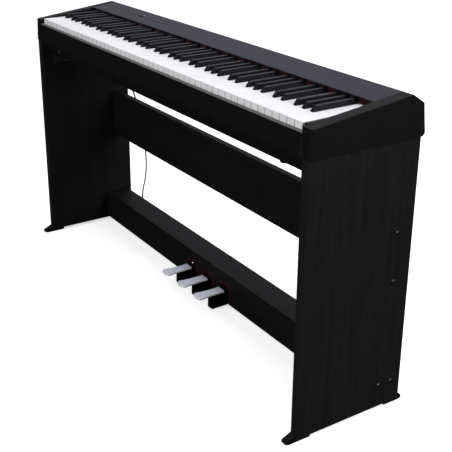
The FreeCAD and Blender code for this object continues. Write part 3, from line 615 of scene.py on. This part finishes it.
asTheyAre = {  # CAD pieces that only get a finish
    "boardUpright": ("beam_end_blocks",),
    "screwSteel": ("panel_screws", "case_screws"),
    "blackSteel": ("case_brackets", "pedal_chassis", "pedal_pivot_pins"),
    "frameSteel": ("key_pivot_rod",),
    "circuitGreen": ("pedal_sensor_board", "circuit_boards"),
    "softRubber": ("pedal_plug", "pedal_socket", "cable_gland", "case_rubber_feet"),
    "greyFelt": ("key_stop_felts",),
    "casePlastic": ("key_frame", "dc_inlet"),
    "jackMetal": ("headphone_socket",),
    "speakerPaper": ("speakers",),
}
for finish, names in asTheyAre.items():
    for name in names:
        painted(name, finish)
makeCable(finishes["softRubber"])
print("CAD pieces dressed")

# printed signs on the top panel: power, volume and a count of dots behind each button
marks = {
    "line": 0.0006,
    "behind": 0.0085,           # from the middle of a control up the slope to its sign
    "powerRadius": 0.0024,
    "powerOpening": 0.6,        # angle left open on either side of the stroke, in radians
    "powerStroke": (0.3, 1.3),  # where the stroke starts and ends, in radii above the middle
    "ringSteps": 33,            # points round the open ring
    "wedge": (0.0004, 0.0028),  # height of the volume wedge at its two ends
    "wedgeReach": 0.011,        # from its middle to either end
    "dot": 0.0007,
    "dotStep": 4,               # from dot to dot, in their radii
    "dotSteps": 17,             # points round a dot
    "lift": 0.00006,
    "merge": 1e-6,              # points closer than this are one
}
buttonRow = {
    "step": 0.8 * mm,   # two corners further apart than this, in x, are in different clusters
    "width": 10 * mm,   # a cluster wider than this is a button
}


def topSlope():
    # middle and outward direction of the top panel's largest face
    face = max(nodes["top_panel"].data.polygons, key=lambda each: each.area * (each.normal.z > 0.9))
    return np.array(face.center), np.array(face.normal)


def onSlope(x, y, along, up):
    # point = foot + along * X + up * S + lift * N, where N is the slope's normal and S = (0, Nz, -Ny)
    middle, normal = topSlope()
    height = middle[2] - (y - middle[1]) * normal[1] / normal[2]
    foot = np.array([x, y, height]) + marks["lift"] * normal
    side = np.array([1.0, 0.0, 0.0])
    rise = np.array([0.0, normal[2], -normal[1]])
    return foot + np.multiply.outer(along, side) + np.multiply.outer(up, rise)


def barGrid(x, y, low, high):
    # a flat bar between two corners, low and high = (along, up)
    along, up = np.meshgrid([low[0], high[0]], [low[1], high[1]])
    return onSlope(x, y, along, up)


def ringGrid(x, y, up, inner, outer, start, end, steps):
    # along = r cos a, up = r sin a, with the angle a down the rows and the radius r across
    angle, radius = np.meshgrid(np.linspace(start, end, steps), [inner, outer], indexing="ij")
    return onSlope(x, y, radius * np.cos(angle), up + radius * np.sin(angle))


def gridFaces(rows, columns, first):
    index = first + np.arange(rows * columns).reshape(rows, columns)
    corners = (index[:-1, :-1], index[:-1, 1:], index[1:, 1:], index[1:, :-1])
    return np.stack(corners, -1).reshape(-1, 4)


def fromGrids(name, grids, material, body):
    # one piece out of several grids of points, each joined up into four-sided faces
    faces = []
    first = 0
    for grid in grids:
        faces.append(gridFaces(*grid.shape[:2], first))
        first += grid.shape[0] * grid.shape[1]
    mesh = bpy.data.meshes.new(name)
    mesh.from_pydata(np.concatenate([grid.reshape(-1, 3) for grid in grids]), [], np.concatenate(faces))
    shape = bmesh.new()
    shape.from_mesh(mesh)
    bmesh.ops.remove_doubles(shape, verts=shape.verts, dist=marks["merge"])
    shape.to_mesh(mesh)
    shape.free()
    mesh.materials.append(material)
    piece = bpy.data.objects.new(name, mesh)
    bpy.context.scene.collection.objects.link(piece)
    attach(piece, body)


def controlSpots():
    # middle (x, y) of the power button, the slider's slot and each of the row's buttons
    spots = []
    for name in ("power_button", "volume_slider"):
        low, high = boxOf(name)
        spots.append((low + high)[:2] / 2)
    low, high = boxOf("panel_buttons")
    points = np.array([corner.co for corner in nodes["panel_buttons"].data.vertices])
    ends = np.sort(points[:, 0])
    breaks = np.flatnonzero(np.diff(ends) > buttonRow["step"])
    starts = np.r_[ends[0], ends[breaks + 1]]
    stops = np.r_[ends[breaks], ends[-1]]
    middles = (starts + stops)[stops - starts > buttonRow["width"]] / 2
    return spots[0], spots[1], [np.array([x, (low + high)[1] / 2]) for x in middles]


def makeMarks():
    power, slider, buttons = controlSpots()
    up = marks["behind"]
    half = marks["line"] / 2
    radius = marks["powerRadius"]
    opening = marks["powerOpening"]
    strokeStart, strokeEnd = marks["powerStroke"]
    quarter = math.pi / 2
    grids = [ringGrid(*power, up, radius - half, radius + half, quarter + opening, 5 * quarter - opening,
                      marks["ringSteps"])]
    grids.append(barGrid(*power, (-half, up + strokeStart * radius), (half, up + strokeEnd * radius)))
    thin, thick = marks["wedge"]
    along, share = np.meshgrid([-marks["wedgeReach"], marks["wedgeReach"]], [0.0, 1.0])
    tall = np.where(along < 0, thin, thick)
    grids.append(onSlope(*slider, along, up - thick / 2 + share * tall))
    for number, spot in enumerate(buttons):
        for step in range(number + 1):
            x = spot[0] + (step - number / 2) * marks["dotStep"] * marks["dot"]
            grids.append(ringGrid(x, spot[1], up, 0.0, marks["dot"], 0.0, 4 * quarter, marks["dotSteps"]))
    fromGrids("panelMarks", grids, finishes["printWhite"], stand)


makeMarks()
print("printed signs made")

studio = {
    "floor": 0.90,             # the floor's shade where the camera sees it
    "floorCloud": 0.03,        # how much lighter it is in places
    "floorClouds": 1.5,        # fineness of that change
    "floorBounce": 0.05,       # its shade in the light it throws back, low so that black faces stay black
    "floorGlow": 0.55,         # what it gives off by itself, which lifts it towards the white backdrop
    "floorReach": 30.0,        # from its middle to its sides
    "floorHeight": -0.0005,
    "backdrop": 0.97,          # the wall behind, as the camera sees it
    "fill": (0.04, 0.62),      # light from the room: low in front, higher behind and above
    "fillLean": 0.6,           # how much being behind counts beside being above
    "fillRange": (-0.2, 0.6),  # where the dim light ends and where the full light starts
    "tint": (0.90, 0.90, 1.0),  # the room light's colour
}
lamps = {  # where each stands, what it aims at, its size and its power
    "overhead": ((0.0, 0.2, 3.0), (0.0, 0.0, 0.5), (3.0, 2.0), 36.0),
    "treble": ((3.2, 0.6, 1.6), (0.3, 0.0, 0.4), (1.6, 1.6), 57.0),
    "front": ((0.6, -3.2, 1.8), (0.0, 0.0, 0.4), (2.4, 1.2), 78.0),
}


def makeFloor():
    # one wide square at floor level
    reach = studio["floorReach"]
    corners = np.array([(-reach, -reach, 0), (reach, -reach, 0), (reach, reach, 0), (-reach, reach, 0)])
    mesh = bpy.data.meshes.new("floor")
    mesh.from_pydata(corners, [], [(0, 1, 2, 3)])
    floor = bpy.data.objects.new("floor", mesh)
    floor.location.z = studio["floorHeight"]
    bpy.context.scene.collection.objects.link(floor)
    material, tree, shader, where = startMaterial("paleFloor")
    shade = studio["floor"]
    light = shade + studio["floorCloud"]
    clouds = noise(tree, where, studio["floorClouds"])
    colour = colourBetween(tree, clouds, (shade, shade, shade), (light, light, light))
    seen = tree.nodes.new("ShaderNodeLightPath").outputs["Is Camera Ray"]
    bounce = studio["floorBounce"]
    tree.links.new(colourBetween(tree, seen, (bounce, bounce, bounce), colour), shader.inputs["Base Color"])
    tree.links.new(mathNode(tree, "MULTIPLY", seen, studio["floorGlow"]), shader.inputs["Emission Strength"])
    setPlain(shader, {"Emission Color": (1.0, 1.0, 1.0, 1.0), "Roughness": 0.9, "Specular IOR Level": 0.1})
    mesh.materials.append(material)


def makeLight(name, standAt, aim, size, power):
    data = bpy.data.lights.new(name, "AREA")
    data.shape = "RECTANGLE"
    data.size, data.size_y = size
    data.energy = power
    lamp = bpy.data.objects.new(name, data)
    lamp.location = standAt
    lamp.rotation_euler = (Vector(aim) - Vector(standAt)).to_track_quat("-Z", "Y").to_euler()
    bpy.context.scene.collection.objects.link(lamp)


def makeWorld():
    # a white backdrop for the camera; for the object a dim room, lighter behind and above
    world = bpy.data.worlds.new("studio")
    world.use_nodes = True
    tree = world.node_tree
    way = place(tree, "ShaderNodeSeparateXYZ", {0: tree.nodes.new("ShaderNodeTexCoord").outputs["Generated"]})
    behind = mathNode(tree, "MULTIPLY", way.outputs[1], studio["fillLean"])
    lean = mathNode(tree, "ADD", behind, way.outputs[2])
    glow = remap(tree, lean, *studio["fillRange"], *studio["fill"], interpolation_type="SMOOTHSTEP")
    seen = tree.nodes.new("ShaderNodeLightPath").outputs["Is Camera Ray"]
    strength = place(tree, "ShaderNodeMix", {0: seen, 2: glow, 3: studio["backdrop"]},
                     data_type="FLOAT").outputs[0]
    background = tree.nodes["Background"]
    tree.links.new(colourBetween(tree, seen, studio["tint"], (1.0, 1.0, 1.0)), background.inputs["Color"])
    tree.links.new(strength, background.inputs["Strength"])
    bpy.context.scene.world = world


makeFloor()
makeWorld()
for name, lamp in lamps.items():
    makeLight(name, *lamp)
bpy.context.scene.view_settings.view_transform = "Standard"
print("studio lit")
